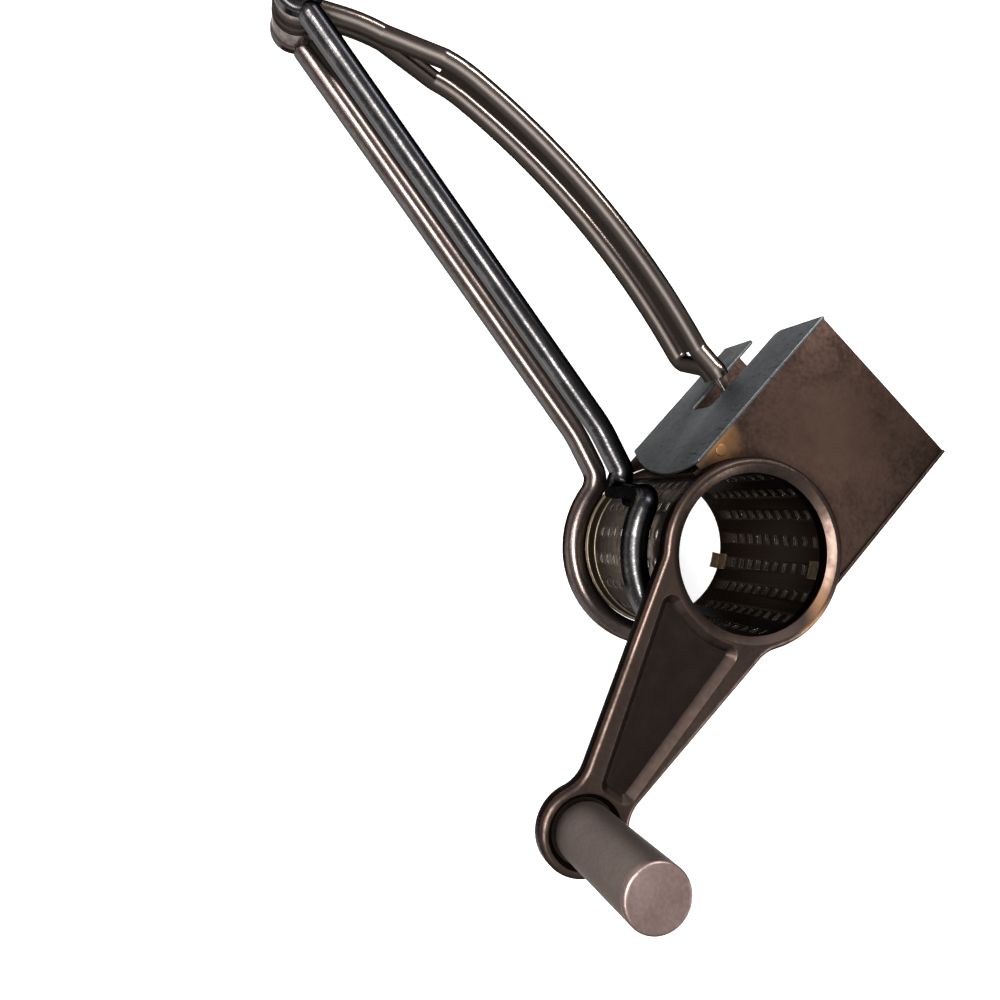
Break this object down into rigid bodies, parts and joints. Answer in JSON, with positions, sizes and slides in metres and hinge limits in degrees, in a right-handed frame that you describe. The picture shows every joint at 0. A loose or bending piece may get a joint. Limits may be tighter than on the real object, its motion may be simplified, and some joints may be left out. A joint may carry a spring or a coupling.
{
  "type": "rotary drum shredder",
  "caption": "Hand-held rotary shredder: a perforated drum with a crank and knob turns under a square hopper, and two sprung pressed-steel arms squeeze a presser on to the food.",
  "frame": {"origin": "middle of the footprint of the tool lying flat, on the face it lies on", "axes": "+X from the arm pivot to the drum, +Y up the hopper, +Z along the drum axis towards the crank knob"},
  "size_m": [0.2236, 0.149, 0.1036],
  "materials": {
    "arm_steel": "tarnished, worn bright along the backs",
    "hopper_steel": "tarnished, mottled",
    "drum_steel": "tarnished, satin",
    "crank_steel": "tarnished, worn along the edges",
    "rivet_steel": "worn bright",
    "knob_metal": "satin, dark",
    "cap_metal": "satin, stained"
  },
  "bodies": {
    "frame": {"lower_arm_rear": "arm_steel", "lower_arm_front": "arm_steel", "hopper_rear_plate": "hopper_steel", "hopper_front_plate": "hopper_steel", "hopper_handle_wall": "hopper_steel", "hopper_far_wall": "hopper_steel", "plate_spot_welds": "rivet_steel", "pivot_rivet": "rivet_steel", "pivot_spacer_rear": "rivet_steel", "pivot_spacer_front": "rivet_steel"},
    "press_arm": {"upper_arm_rear": "arm_steel", "upper_arm_front": "arm_steel", "presser_stem": "arm_steel", "presser_saddle": "hopper_steel", "presser_plate": "hopper_steel", "presser_rivets": "rivet_steel"},
    "drum": {"drum_shell": "drum_steel", "drum_rear_ring": "drum_steel", "drum_front_collar": "drum_steel", "drum_seam_clips": "drum_steel", "crank": "crank_steel", "knob_pin": "rivet_steel", "knob_washer": "rivet_steel"},
    "knob": {"knob_sleeve": "knob_metal", "knob_end_cap": "cap_metal"}
  },
  "joints": [
    {"name": "press_hinge", "type": "hinge", "parent": "frame", "child": "press_arm", "pos_m": [-0.1053, 0.01252, 0.0148], "axis": [0, 0, 1], "range_deg": [0, 75]},
    {"name": "crank_turn", "type": "hinge", "parent": "frame", "child": "drum", "pos_m": [0.0762, 0.01152, 0.03], "axis": [0, 0, 1], "continuous": true},
    {"name": "knob_spin", "type": "hinge", "parent": "drum", "child": "knob", "pos_m": [0.1006, -0.06328, 0.08], "axis": [0, 0, 1], "continuous": true}
  ]
}
